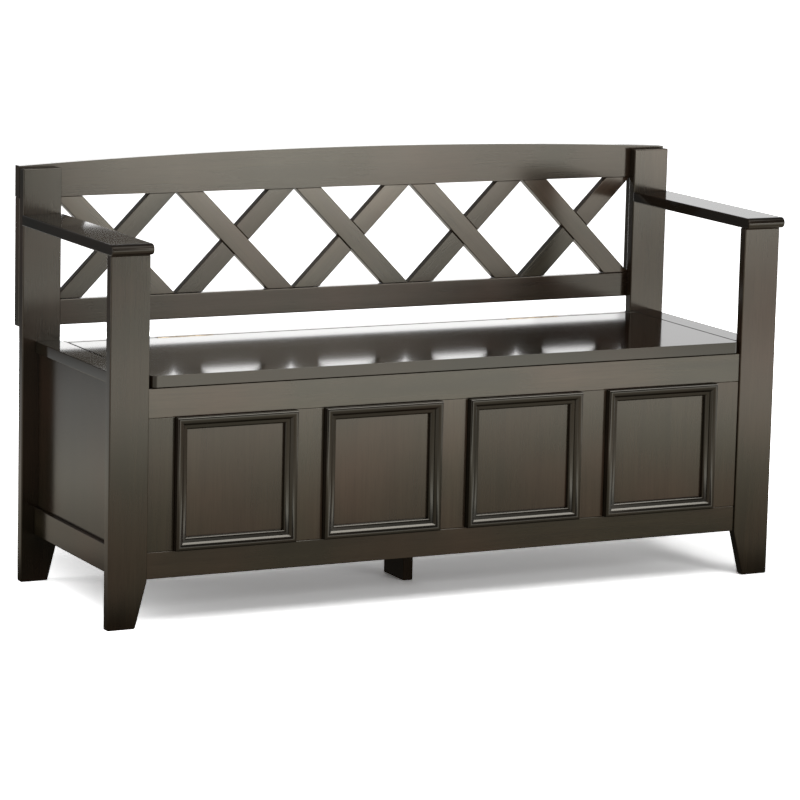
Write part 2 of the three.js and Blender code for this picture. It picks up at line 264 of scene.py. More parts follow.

# roughness and its spread, edge wear and painted edge highlight, tone factor, strength of the relief
finishLook = {
    "satin": (0.16, 0.07, 0.30, 1.0, 0.25),
    "panel": (0.17, 0.07, 0.20, 0.95, 0.25),
    "bead": (0.08, 0.03, 0.20, 0.5, 0.05),
    "arm": (0.10, 0.03, 0.20, 0.6, 0.02),
    "gloss": (0.09, 0.03, 0.20, 0.70, 0.06),
    "inner": (0.50, 0.10, 0.20, 3.0, 0.40),
}


# grainAngle turns the grain from X (0) through Z (90); "depth" runs it along Y.
def makeWood(name, grainAngle, finish):
    look = stainLook
    rough, roughSpread, wearAndHighlight, tone, relief = finishLook[finish]
    material = bpy.data.materials.new(name)
    material.use_nodes = True
    tree = material.node_tree
    shader = tree.nodes["Principled BSDF"]
    shader.inputs["Specular Tint"].default_value = (*look["sheen"], 1)

    place = addNode(tree, "ShaderNodeTexCoord").outputs["Object"]
    shift = addNode(tree, "ShaderNodeAttribute", attribute_name="boardShift").outputs["Vector"]
    moved = vectorNode(tree, "ADD", place, shift)
    turn = addNode(tree, "ShaderNodeMapping")
    if grainAngle == "depth":
        turn.inputs["Rotation"].default_value = (0, 0, -math.pi / 2)
    else:
        turn.inputs["Rotation"].default_value = (0, math.radians(grainAngle), 0)
    tree.links.new(moved, turn.inputs["Vector"])
    along = turn.outputs["Vector"]

    grain = useGroup(
        tree, grainGroup, along, Streak_Width=look["streakWidth"], Pore_Width=look["poreWidth"])
    wornLitEdge = useGroup(tree, edgeGroup, along, Amount=wearAndHighlight)
    smudge = useGroup(tree, smudgeGroup, along, Base=rough, Spread=roughSpread)
    boardTone = addNode(tree, "ShaderNodeAttribute", attribute_name="boardTone").outputs["Fac"]

    dark, light, red = (tuple(c * tone for c in look[shade]) for shade in ("dark", "light", "red"))
    body = rampNode(tree, grain.outputs["Streaks"], zip(look["streakStops"], (dark, light)))
    redness = mathNode(
        tree, "MULTIPLY_ADD", grain.outputs["Cloud"], look["redGain"], look["redOffset"], clamp=True)
    warmed = mixColour(tree, redness, body, red)
    poreShade = rampNode(
        tree, grain.outputs["Pores"], zip(look["poreStops"], (look["poreShade"], (1, 1, 1))))
    pored = mixColour(tree, 1.0, warmed, poreShade, "MULTIPLY")
    toneFrom, toneTo = look["toneRange"]
    toneShade = rampNode(tree, boardTone, [(0.0, (toneFrom,) * 3), (1.0, (toneTo,) * 3)])
    toned = mixColour(tree, 1.0, pored, toneShade, "MULTIPLY")
    # the rounded edges are lightened: partly rubbed stain, partly a painted highlight along them
    colour = mixColour(tree, wornLitEdge.outputs["Mask"], toned, look["wornAndLit"])
    tree.links.new(colour, shader.inputs["Base Color"])
    gloss = mathNode(tree, "MULTIPLY_ADD", boardTone, look["glossSpread"], look["glossFrom"])
    tree.links.new(gloss, shader.inputs["Specular IOR Level"])
    tree.links.new(smudge.outputs["Roughness"], shader.inputs["Roughness"])

    poreBump = addNode(tree, "ShaderNodeBump")
    poreBump.inputs["Strength"].default_value = relief
    poreBump.inputs["Distance"].default_value = look["poreDepth"]
    tree.links.new(grain.outputs["Pores"], poreBump.inputs["Height"])
    ripple = addNode(tree, "ShaderNodeBump")
    ripple.inputs["Strength"].default_value = relief
    ripple.inputs["Distance"].default_value = look["rippleDepth"]
    tree.links.new(smudge.outputs["Ripple"], ripple.inputs["Height"])
    tree.links.new(poreBump.outputs["Normal"], ripple.inputs["Normal"])
    tree.links.new(ripple.outputs["Normal"], shader.inputs["Normal"])
    return material


metalLook = {
    "base": (0.16, 0.125, 0.085), "rubbed": (0.42, 0.33, 0.22),
    "brush": (30.0, 900.0, 900.0), "lineNoise": (3.0, 0.6),
    "patchScale": 60.0, "patchNoise": (4.0, 0.6), "patchStops": (0.42, 0.74),
    "roughFrom": 0.24, "roughSpread": 0.22, "relief": 0.3, "reliefDepth": 0.00005,
}


def makeBronze():
    look = metalLook
    material = bpy.data.materials.new("hingeBronze")
    material.use_nodes = True
    tree = material.node_tree
    shader = tree.nodes["Principled BSDF"]
    shader.inputs["Metallic"].default_value = 1.0
    place = addNode(tree, "ShaderNodeTexCoord").outputs["Object"]
    brushed = vectorNode(tree, "MULTIPLY", place, look["brush"])
    lines = noise(tree, brushed, 1.0, *look["lineNoise"])
    patches = noise(tree, place, look["patchScale"], *look["patchNoise"])
    colour = rampNode(tree, patches, zip(look["patchStops"], (look["base"], look["rubbed"])))
    tree.links.new(colour, shader.inputs["Base Color"])
    rough = mathNode(tree, "MULTIPLY_ADD", lines, look["roughSpread"], look["roughFrom"])
    tree.links.new(rough, shader.inputs["Roughness"])
    bump = addNode(tree, "ShaderNodeBump")
    bump.inputs["Strength"].default_value = look["relief"]
    bump.inputs["Distance"].default_value = look["reliefDepth"]
    tree.links.new(lines, bump.inputs["Height"])
    tree.links.new(bump.outputs["Normal"], shader.inputs["Normal"])
    return material


rubberLook = {
    "dark": (0.006, 0.006, 0.006), "light": (0.014, 0.014, 0.013),
    "scale": 900.0, "noise": (3.0, 0.6), "stops": (0.3, 0.8), "roughFrom": 0.55, "roughSpread": 0.2,
}


def makeRubber():
    look = rubberLook
    material = bpy.data.materials.new("bumperRubber")
    material.use_nodes = True
    tree = material.node_tree
    shader = tree.nodes["Principled BSDF"]
    place = addNode(tree, "ShaderNodeTexCoord").outputs["Object"]
    speckle = noise(tree, place, look["scale"], *look["noise"])
    colour = rampNode(tree, speckle, zip(look["stops"], (look["dark"], look["light"])))
    tree.links.new(colour, shader.inputs["Base Color"])
    rough = mathNode(tree, "MULTIPLY_ADD", speckle, look["roughSpread"], look["roughFrom"])
    tree.links.new(rough, shader.inputs["Roughness"])
    return material


slantAngle = 45.4  # degrees of the lattice slats from level
woods = {
    "frameAcross": makeWood("stainedFrameAcross", 0, "satin"),
    "frameUpright": makeWood("stainedFrameUpright", 90, "satin"),
    "frameDepth": makeWood("stainedFrameDepth", "depth", "satin"),
    "slatFalling": makeWood("stainedSlatFalling", -slantAngle, "satin"),
    "slatRising": makeWood("stainedSlatRising", slantAngle, "satin"),
    "panelUpright": makeWood("stainedPanelUpright", 90, "panel"),
    "panelAcross": makeWood("stainedPanelAcross", 0, "panel"),
    "beadAcross": makeWood("stainedBeadAcross", 0, "bead"),
    "beadUpright": makeWood("stainedBeadUpright", 90, "bead"),
    "armDepth": makeWood("stainedArmDepth", "depth", "arm"),
    "seatAcross": makeWood("stainedSeatAcross", 0, "gloss"),
    "seatDepth": makeWood("stainedSeatDepth", "depth", "gloss"),
    "innerAcross": makeWood("stainedInnerAcross", 0, "inner"),
    "innerDepth": makeWood("stainedInnerDepth", "depth", "inner"),
}
bronze = makeBronze()
rubber = makeRubber()
print("materials made:", len(woods) + 2)


# ---- boards: each CAD board again, with rounded edges

# board: (material, edge radius in mm)
boardLook = {
    "front_left_leg": ("frameUpright", 2.2),
    "front_right_leg": ("frameUpright", 2.2),
    "rear_left_leg": ("frameUpright", 2.2),
    "rear_right_leg": ("frameUpright", 2.2),
    "left_armrest": ("armDepth", 1.8),
    "right_armrest": ("armDepth", 1.8),
    "crest_rail": ("frameAcross", 2.0),
    "lower_back_rail": ("frameAcross", 1.6),
    "left_back_stile": ("frameUpright", 1.6),
    "right_back_stile": ("frameUpright", 1.6),
    "front_top_rail": ("frameAcross", 0.8),
    "front_bottom_rail": ("frameAcross", 1.0),
    "left_front_stile": ("frameUpright", 0.7),
    "left_muntin": ("frameUpright", 0.7),
    "centre_muntin": ("frameUpright", 0.7),
    "right_muntin": ("frameUpright", 0.7),
    "right_front_stile": ("frameUpright", 0.7),
    "front_panel_1": ("panelUpright", 0.5),
    "front_panel_2": ("panelUpright", 0.5),
    "front_panel_3": ("panelUpright", 0.5),
    "front_panel_4": ("panelUpright", 0.5),
    "left_side_rail": ("frameDepth", 1.6),
    "right_side_rail": ("frameDepth", 1.6),
    "left_side_panel": ("panelUpright", 0.5),
    "right_side_panel": ("panelUpright", 0.5),
    "left_seat_end_strip": ("seatDepth", 1.4),
    "right_seat_end_strip": ("seatDepth", 1.4),
    "rear_seat_rail": ("seatAcross", 1.0),
    "rear_panel": ("panelAcross", 0.5),
    "rear_bottom_rail": ("frameAcross", 1.0),
    "bottom_panel": ("innerAcross", 0.5),
    "front_bottom_cleat": ("innerAcross", 0.8),
    "rear_bottom_cleat": ("innerAcross", 0.8),
    "centre_brace": ("innerDepth", 0.8),
    "centre_foot": ("frameUpright", 1.6),
    "lid": ("seatAcross", 2.6),
}


# Boards whose stain took lighter or darker than the rest, from 0 dark to 1 light.
boardTones = {
    "front_top_rail": 0.95, "left_muntin": 0.85, "centre_muntin": 0.80, "right_muntin": 0.62,
    "front_left_leg": 0.35, "front_right_leg": 0.45, "left_front_stile": 0.45, "right_front_stile": 0.60,
    "front_panel_1": 0.55, "front_panel_2": 0.60, "front_panel_3": 0.50, "front_panel_4": 0.58,
    "front_bottom_rail": 0.45, "left_side_panel": 0.30, "left_armrest": 0.05, "right_armrest": 0.10,
    "lid": 0.30, "crest_rail": 0.30,
}


# How boards without a tone of their own differ, and how far each board's pattern is moved.
boardSpread = {
    "toneFrom": 0.2, "toneSpread": 0.4, "shiftStep": (0.37, 1.13, 0.71), "shiftWrapY": 5.0, "shiftWrapZ": 3.0,
}
goldenStep = 0.618034


# A tone from 0 to 1 that is the same on every run, spread by a place in a list.
def toneOf(index):
    return (index * goldenStep) % 1.0


def addPointAttribute(mesh, name, kind, values):
    attribute = mesh.attributes.new(name, kind, "POINT")
    key = "vector" if kind == "FLOAT_VECTOR" else "value"
    attribute.data.foreach_set(key, values)


# Welds a loose-triangle copy of a CAD mesh and joins its flat faces.
def weldedCopy(nodeName):
    shape = bmesh.new()
    shape.from_mesh(frame["nodes"][nodeName].data)
    bmesh.ops.remove_doubles(shape, verts=shape.verts, dist=weldGap)
    bmesh.ops.dissolve_limit(shape, angle_limit=flatAngle, verts=shape.verts, edges=shape.edges)
    return shape


# Rounds every sharp edge; the round's own middle points carry edgeMask 1.
def roundEdges(shape, radius, segments=3):
    sharp = [e for e in shape.edges if len(e.link_faces) == 2 and e.calc_face_angle(0) > sharpEdge]
    made = bmesh.ops.bevel(
        shape, geom=sharp, offset=radius, offset_type="OFFSET", segments=segments,
        profile=0.5, affect="EDGES", clamp_overlap=True)
    rounds = set(made["faces"])
    shape.verts.index_update()
    return [1.0 if all(f in rounds for f in v.link_faces) else 0.0 for v in shape.verts]


def finishMesh(shape, name, mask, material):
    bmesh.ops.recalc_face_normals(shape, faces=shape.faces)
    for face in shape.faces:
        face.smooth = True
    mesh = bpy.data.meshes.new(name)
    shape.to_mesh(mesh)
    shape.free()
    addPointAttribute(mesh, "edgeMask", "FLOAT", mask)
    mesh.materials.append(material)
    return mesh


def addPiece(name, mesh, body, replaced=()):
    piece = bpy.data.objects.new(name, mesh)
    bpy.context.scene.collection.objects.link(piece)
    weighted = piece.modifiers.new("faceNormals", "WEIGHTED_NORMAL")
    weighted.weight = 100
    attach(piece, body)
    if replaced:
        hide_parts(*replaced)


slotOfNode = {s["node"]: s["material_slot"] for s in frame["record"]["subparts"]}
bodyOfNode = {
    node: body for body, nodes in frame["record"]["behaviour"]["bodies"].items() for node in nodes}


def makeBoards():
    look = boardSpread
    stepX, stepY, stepZ = look["shiftStep"]
    for index, (nodeName, (wood, radius)) in enumerate(boardLook.items()):
        shape = weldedCopy(nodeName)
        mask = roundEdges(shape, radius * mm)
        mesh = finishMesh(shape, nodeName + "_board", mask, woods[wood])
        count = len(mesh.vertices)
        shift = (stepX * index, stepY * index % look["shiftWrapY"], stepZ * index % look["shiftWrapZ"])
        addPointAttribute(mesh, "boardShift", "FLOAT_VECTOR", shift * count)
        tone = boardTones.get(nodeName, look["toneFrom"] + look["toneSpread"] * toneOf(index))
        addPointAttribute(mesh, "boardTone", "FLOAT", [tone] * count)
        addPiece(nodeName + "_board", mesh, bodyOfNode[nodeName], [nodeName])


makeBoards()
print("boards rounded:", len(boardLook))


# ---- geometry node helpers

def newShapeTree(name, inputs):
    tree = bpy.data.node_groups.new(name, "GeometryNodeTree")
    tree.interface.new_socket(name="Geometry", in_out="INPUT", socket_type="NodeSocketGeometry")
    for label, kind in inputs:
        tree.interface.new_socket(name=label, in_out="INPUT", socket_type=kind)
    tree.interface.new_socket(name="Geometry", in_out="OUTPUT", socket_type="NodeSocketGeometry")
    return tree, tree.nodes.new("NodeGroupInput"), tree.nodes.new("NodeGroupOutput")


def endTree(tree, given, out, geometry):
    realize = tree.nodes.new("GeometryNodeRealizeInstances")
    setMaterial = tree.nodes.new("GeometryNodeSetMaterial")
    tree.links.new(geometry, realize.inputs[0])
    tree.links.new(realize.outputs[0], setMaterial.inputs["Geometry"])
    tree.links.new(given.outputs["Material"], setMaterial.inputs["Material"])
    tree.links.new(setMaterial.outputs[0], out.inputs[0])


# A random value node shows one output for each kind; this is the plain number.
def floatOutput(node):
    return next(s for s in node.outputs if s.type == "VALUE")


# Runs the tree on a mesh and gives back the plain mesh that it makes.
def runTree(tree, mesh, values, name):
    carrier = bpy.data.objects.new(name + "_source", mesh)
    bpy.context.scene.collection.objects.link(carrier)
    modifier = carrier.modifiers.new("shape", "NODES")
    modifier.node_group = tree
    identifiers = {
        item.name: item.identifier for item in tree.interface.items_tree if item.in_out == "INPUT"}
    for label, value in values.items():
        modifier[identifiers[label]] = value
    depsgraph = bpy.context.evaluated_depsgraph_get()
    depsgraph.update()
    made = bpy.data.meshes.new_from_object(carrier.evaluated_get(depsgraph), depsgraph=depsgraph)
    made.name = name
    bpy.data.objects.remove(carrier)
    return made


latticeLook = {"radius": 1.4, "fallingSeed": 3, "risingSeed": 8, "patternShift": 3.0}


# Copies of the given shape, each with its own tone, on a row of points along X.
def buildRowTree():
    tree, given, out = newShapeTree("rowOfCopies", [
        ("Count", "NodeSocketInt"), ("Pitch", "NodeSocketFloat"), ("Seed", "NodeSocketInt"),
        ("Material", "NodeSocketMaterial")])
    step = tree.nodes.new("ShaderNodeCombineXYZ")
    line = tree.nodes.new("GeometryNodeMeshLine")
    copies = tree.nodes.new("GeometryNodeInstanceOnPoints")
    tone = addNode(tree, "FunctionNodeRandomValue", data_type="FLOAT")
    shift = addNode(tree, "FunctionNodeRandomValue", data_type="FLOAT_VECTOR")
    shift.inputs["Max"].default_value = (latticeLook["patternShift"],) * 3
    tree.links.new(given.outputs["Pitch"], step.inputs["X"])
    tree.links.new(given.outputs["Count"], line.inputs["Count"])
    tree.links.new(step.outputs[0], line.inputs["Offset"])
    tree.links.new(line.outputs[0], copies.inputs["Points"])
    tree.links.new(given.outputs["Geometry"], copies.inputs["Instance"])
    tree.links.new(given.outputs["Seed"], tone.inputs["Seed"])
    tree.links.new(given.outputs["Seed"], shift.inputs["Seed"])

    def stored(geometry, name, kind, value):
        store = addNode(tree, "GeometryNodeStoreNamedAttribute", data_type=kind, domain="INSTANCE")
        store.inputs["Name"].default_value = name
        tree.links.new(geometry, store.inputs["Geometry"])
        tree.links.new(value, store.inputs["Value"])
        return store.outputs[0]

    toned = stored(copies.outputs[0], "boardTone", "FLOAT", floatOutput(tone))
    endTree(tree, given, out, stored(toned, "boardShift", "FLOAT_VECTOR", shift.outputs[0]))
    return tree


# ---- lattice slats: one rounded slat of each kind, repeated along the back

rowTree = buildRowTree()


def makeSlats(kind, wood, seed):
    names = [n for n in sorted(frame["nodes"]) if n.startswith(kind + "_slat_")]
    first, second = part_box(names[0])[0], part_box(names[1])[0]
    shape = weldedCopy(names[0])
    mask = roundEdges(shape, latticeLook["radius"] * mm)
    one = finishMesh(shape, kind + "Slat", mask, woods[wood])
    made = runTree(rowTree, one, {
        "Count": len(names), "Pitch": second.x - first.x, "Seed": seed, "Material": woods[wood],
    }, kind + "_slats")
    addPiece(kind + "_slats", made, bodyOfNode[names[0]], names)


makeSlats("falling", "slatFalling", latticeLook["fallingSeed"])
makeSlats("rising", "slatRising", latticeLook["risingSeed"])
print("lattice slats made")


# ---- panel mouldings: a section swept round each panel with mitred corners

mouldingLook = {
    "outerRound": (3.3, 11.2, 3.3, 3.3, 0, 88, 10),
    "slope": (
        (4.8, 14.42), (6.2, 14.15), (7.6, 13.8), (8.8, 13.4),
        (9.7, 12.9), (10.6, 12.2), (11.6, 11.2), (12.9, 9.9)),
    "step": (13.1, 8.1),
    "innerRound": (15.9, 3.2, 4.6, 4.2, 100, 180, 10),
    "width": 20.5,
    "sides": 4,
    "crispAngle": 38,
    "toneFrom": 0.1, "toneSpread": 0.4, "toneStart": 5,
    "grainStep": (0.31, 0.77, 0.53),
}


# An arc of the section: centre and radii in mm, angles in degrees from the outer side.
def sectionArc(x, y, radiusX, radiusY, start, end, steps):
    angles = [math.radians(start + (end - start) * i / steps) for i in range(steps + 1)]
    return [(x - radiusX * math.cos(a), y + radiusY * math.sin(a)) for a in angles]


def mouldingSection():
    look = mouldingLook
    points = [(0.0, 0.0)]
    points += sectionArc(*look["outerRound"])
    points += look["slope"]
    points.append(look["step"])
    points += sectionArc(*look["innerRound"])
    points.append((look["width"], 0.0))
    return [Vector((x * mm, 0, y * mm)) for x, y in points]


# The input mesh holds the section's points: x is the distance inwards, z the height.
# A grid with one column for each corner takes its places from them.
def buildMouldingTree():
    tree, given, out = newShapeTree("mitredMoulding", [
        ("Points", "NodeSocketInt"), ("Width", "NodeSocketFloat"), ("Height", "NodeSocketFloat"),
        ("Count", "NodeSocketInt"), ("Pitch", "NodeSocketFloat"), ("Material", "NodeSocketMaterial")])

    def wire(a, b):
        tree.links.new(a, b)

    sides = mouldingLook["sides"]
    middleCorner = (sides - 1) / 2
    rows = mathNode(tree, "ADD", given.outputs["Points"], 1)
    grid = tree.nodes.new("GeometryNodeMeshGrid")
    wire(given.outputs["Points"], grid.inputs["Size X"])
    grid.inputs["Size Y"].default_value = sides
    wire(rows, grid.inputs["Vertices X"])
    grid.inputs["Vertices Y"].default_value = sides + 1
    place = tree.nodes.new("ShaderNodeSeparateXYZ")
    wire(tree.nodes.new("GeometryNodeInputPosition").outputs[0], place.inputs[0])
    half = mathNode(tree, "DIVIDE", given.outputs["Points"], 2.0)
    row = mathNode(tree, "ROUND", mathNode(tree, "ADD", place.outputs["X"], half))
    rowIndex = mathNode(tree, "MODULO", row, given.outputs["Points"])
    column = mathNode(tree, "ROUND", mathNode(tree, "ADD", place.outputs["Y"], sides / 2))
    corner = mathNode(tree, "MODULO", column, sides)
    sample = tree.nodes.new("GeometryNodeSampleIndex")
    sample.data_type = "FLOAT_VECTOR"
    wire(given.outputs["Geometry"], sample.inputs["Geometry"])
    wire(tree.nodes.new("GeometryNodeInputPosition").outputs[0], sample.inputs["Value"])
    wire(rowIndex, sample.inputs["Index"])
    section = tree.nodes.new("ShaderNodeSeparateXYZ")
    wire(sample.outputs[0], section.inputs[0])
    # corners 1 and 2 are on the right, 2 and 3 at the top
    fromMiddle = mathNode(tree, "ABSOLUTE", mathNode(tree, "SUBTRACT", corner, middleCorner))
    isRight = mathNode(tree, "LESS_THAN", fromMiddle, 1.0)
    isTop = mathNode(tree, "GREATER_THAN", corner, middleCorner)

    def edgePlace(isFar, size):
        sign = mathNode(tree, "SUBTRACT", mathNode(tree, "MULTIPLY", isFar, 2.0), 1.0)
        reach = mathNode(tree, "SUBTRACT", mathNode(tree, "DIVIDE", size, 2.0), section.outputs["X"])
        return mathNode(tree, "MULTIPLY", sign, reach)

    target = tree.nodes.new("ShaderNodeCombineXYZ")
    wire(edgePlace(isRight, given.outputs["Width"]), target.inputs["X"])
    wire(mathNode(tree, "MULTIPLY", section.outputs["Z"], -1.0), target.inputs["Y"])
    wire(edgePlace(isTop, given.outputs["Height"]), target.inputs["Z"])
    setPlace = tree.nodes.new("GeometryNodeSetPosition")
    wire(grid.outputs["Mesh"], setPlace.inputs["Geometry"])
    wire(target.outputs[0], setPlace.inputs["Position"])
    weld = tree.nodes.new("GeometryNodeMergeByDistance")
    weld.inputs["Distance"].default_value = weldGap
    wire(setPlace.outputs[0], weld.inputs["Geometry"])
    step = tree.nodes.new("ShaderNodeCombineXYZ")
    wire(given.outputs["Pitch"], step.inputs["X"])
    line = tree.nodes.new("GeometryNodeMeshLine")
    wire(given.outputs["Count"], line.inputs["Count"])
    wire(step.outputs[0], line.inputs["Offset"])
    copies = tree.nodes.new("GeometryNodeInstanceOnPoints")
    wire(line.outputs[0], copies.inputs["Points"])
    wire(weld.outputs[0], copies.inputs["Instance"])
    endTree(tree, given, out, copies.outputs[0])
    return tree


def makeMouldings():
    look = mouldingLook
    names = [n for n in sorted(frame["nodes"]) if n.startswith("panel_moulding_")]
    low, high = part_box(names[0])
    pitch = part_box(names[1])[0].x - low.x
    section = mouldingSection()
    source = bpy.data.meshes.new("mouldingSection")
    source.from_pydata(section, [], [])
    made = runTree(buildMouldingTree(), source, {
        "Points": len(section), "Width": high.x - low.x, "Height": high.z - low.z,
        "Count": len(names), "Pitch": pitch, "Material": woods["beadAcross"],
    }, "panel_mouldings")
    made.transform(Matrix.Translation(((low.x + high.x) / 2, high.y, (low.z + high.z) / 2)))
    shape = bmesh.new()
    shape.from_mesh(made)
    bmesh.ops.recalc_face_normals(shape, faces=shape.faces)
    tones, shifts = [], []
    # the upright lengths take the upright grain, and each length has its own tone
    for face in shape.faces:
        face.smooth = True
        longest = max(face.edges, key=lambda e: e.calc_length())
        run = longest.verts[1].co - longest.verts[0].co
        isUpright = abs(run.z) > abs(run.x)
        face.material_index = 1 if isUpright else 0
        middle = face.calc_center_median()
        panelIndex = int((middle.x - low.x) // pitch)
        if isUpright:
            isFar = middle.x - low.x - panelIndex * pitch > pitch / 2
        else:
            isFar = middle.z > (low.z + high.z) / 2
        member = panelIndex * look["sides"] + 2 * isUpright + isFar
        tones.append(look["toneFrom"] + look["toneSpread"] * toneOf(member + look["toneStart"]))
        shifts += [step * member for step in look["grainStep"]]
    shape.to_mesh(made)
    shape.free()
    made.materials.clear()
    made.materials.append(woods["beadAcross"])
    made.materials.append(woods["beadUpright"])
    tone = made.attributes.new("boardTone", "FLOAT", "FACE")
    tone.data.foreach_set("value", tones)
    shift = made.attributes.new("boardShift", "FLOAT_VECTOR", "FACE")
    shift.data.foreach_set("vector", shifts)
    made.set_sharp_from_angle(angle=math.radians(look["crispAngle"]))
    piece = bpy.data.objects.new("panel_mouldings", made)
    bpy.context.scene.collection.objects.link(piece)
    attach(piece, bodyOfNode[names[0]])
    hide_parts(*names)


makeMouldings()
print("panel mouldings swept")


# ---- hardware

def dressHardware():
    for nodeName, slotName in slotOfNode.items():
        if slotName not in ("hinge_metal", "bumper_rubber"):
            continue
        mesh = frame["nodes"][nodeName].data
        mesh.materials.clear()
        mesh.materials.append(bronze if slotName == "hinge_metal" else rubber)


headLook = {"sides": 28, "socketSides": 6, "bladeShare": 0.3}


# A flat head with a recess in it, put on every point of the input mesh and spun at random.
def buildHeadTree(name, isSocket):
    tree, given, out = newShapeTree(name, [
        ("Radius", "NodeSocketFloat"), ("Depth", "NodeSocketFloat"), ("Recess", "NodeSocketFloat"),
        ("Tilt", "NodeSocketVector"), ("Seed", "NodeSocketInt"), ("Material", "NodeSocketMaterial")])
    head = tree.nodes.new("GeometryNodeMeshCylinder")
    head.inputs["Vertices"].default_value = headLook["sides"]
    tree.links.new(given.outputs["Radius"], head.inputs["Radius"])
    tree.links.new(given.outputs["Depth"], head.inputs["Depth"])
    cut = tree.nodes.new("GeometryNodeMeshBoolean")
    cut.operation = "DIFFERENCE"
    cut.solver = "EXACT"
    tree.links.new(head.outputs["Mesh"], cut.inputs["Mesh 1"])
    halfDepth = mathNode(tree, "MULTIPLY", given.outputs["Depth"], 0.5)
    lift = tree.nodes.new("ShaderNodeCombineXYZ")
    tree.links.new(halfDepth, lift.inputs["Z"])
    if isSocket:
        cutters = [tree.nodes.new("GeometryNodeMeshCylinder")]
        cutters[0].inputs["Vertices"].default_value = headLook["socketSides"]
        tree.links.new(given.outputs["Recess"], cutters[0].inputs["Radius"])
        tree.links.new(given.outputs["Depth"], cutters[0].inputs["Depth"])
    else:
        blade = mathNode(tree, "MULTIPLY", given.outputs["Recess"], headLook["bladeShare"])
        cutters = []
        for sizes in ((given.outputs["Recess"], blade), (blade, given.outputs["Recess"])):
            bar = tree.nodes.new("GeometryNodeMeshCube")
            size = tree.nodes.new("ShaderNodeCombineXYZ")
            tree.links.new(sizes[0], size.inputs["X"])
            tree.links.new(sizes[1], size.inputs["Y"])
            tree.links.new(given.outputs["Depth"], size.inputs["Z"])
            tree.links.new(size.outputs[0], bar.inputs["Size"])
            cutters.append(bar)
    for cutter in cutters:
        raised = tree.nodes.new("GeometryNodeTransform")
        tree.links.new(cutter.outputs["Mesh"], raised.inputs["Geometry"])
        tree.links.new(lift.outputs[0], raised.inputs["Translation"])
        tree.links.new(raised.outputs[0], cut.inputs["Mesh 2"])
    copies = tree.nodes.new("GeometryNodeInstanceOnPoints")
    tree.links.new(given.outputs["Geometry"], copies.inputs["Points"])
    tree.links.new(cut.outputs["Mesh"], copies.inputs["Instance"])
    tree.links.new(given.outputs["Tilt"], copies.inputs["Rotation"])
    spin = addNode(tree, "FunctionNodeRandomValue", data_type="FLOAT")
    tree.links.new(given.outputs["Seed"], spin.inputs["Seed"])
    spinAngle = mathNode(tree, "MULTIPLY", floatOutput(spin), math.pi)
    turn = tree.nodes.new("ShaderNodeCombineXYZ")
    tree.links.new(spinAngle, turn.inputs["Z"])
    spun = tree.nodes.new("GeometryNodeRotateInstances")
    tree.links.new(copies.outputs[0], spun.inputs["Instances"])
    tree.links.new(turn.outputs[0], spun.inputs["Rotation"])
    endTree(tree, given, out, spun.outputs[0])
    return tree


def placeHeads(name, tree, places, values, body):
    source = bpy.data.meshes.new(name + "_places")
    source.from_pydata(places, [], [])
    made = runTree(tree, source, values, name)
    made.set_sharp_from_angle(angle=sharpEdge)
    piece = bpy.data.objects.new(name, made)
    bpy.context.scene.collection.objects.link(piece)
    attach(piece, body)


hingeScrewLook = {
    "radius": 3.0, "depth": 0.7, "recess": 3.6, "proud": 0.25, "inset": 14, "leafHeight": 12.1,
    "leafThickness": 1.2, "leafGap": 0.3,
}
frameBoltLook = {
    "radius": 5.5, "depth": 1.6, "recess": 2.6, "proud": 0.6, "fromEnd": 33, "heights": (452, 560, 664)}


# Three screws through each hinge leaf, on the side that faces the other leaf.
def makeHingeScrews():
    look = hingeScrewLook
    tree = buildHeadTree("crossRecessHead", isSocket=False)
    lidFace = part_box("lid")[1].y + (look["leafGap"] + look["leafThickness"]) * mm
    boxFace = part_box("rear_seat_rail")[0].y - (look["leafGap"] + look["leafThickness"]) * mm
    sink = (look["proud"] - look["depth"] / 2) * mm
    for leaf, body, y, tilt, seed in (
            ("lid_leaf", "lid", lidFace + sink, -math.pi / 2, 4),
            ("box_leaf", "bench", boxFace - sink, math.pi / 2, 9)):
        places = []
        for side in ("left", "right"):
            low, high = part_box(side + "_hinge_" + leaf)
            z = low.z + look["leafHeight"] / 2 * mm
            middle = (low.x + high.x) / 2
            reach = (high.x - low.x) / 2 - look["inset"] * mm
            places += [(middle + k * reach, y, z) for k in (-1, 0, 1)]
        placeHeads(leaf + "_screws", tree, places, {
            "Radius": look["radius"] * mm, "Depth": look["depth"] * mm, "Recess": look["recess"] * mm,
            "Tilt": (tilt, 0, 0), "Seed": seed, "Material": bronze}, body)


# Socket bolts that hold the back frame on the rear legs, seen only from behind.
def makeFrameBolts():
    look = frameBoltLook
    low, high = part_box("crest_rail")
    y = high.y + (look["proud"] - look["depth"] / 2) * mm
    reach = (high.x - low.x) / 2 - look["fromEnd"] * mm
    places = [(side * reach, y, z * mm) for side in (-1, 1) for z in look["heights"]]
    placeHeads("frame_bolts", buildHeadTree("socketHead", isSocket=True), places, {
        "Radius": look["radius"] * mm, "Depth": look["depth"] * mm, "Recess": look["recess"] * mm,
        "Tilt": (-math.pi / 2, 0, 0), "Seed": 2, "Material": bronze}, "bench")


dressHardware()
makeHingeScrews()
makeFrameBolts()
print("hinges, bumpers, screws and bolts made")
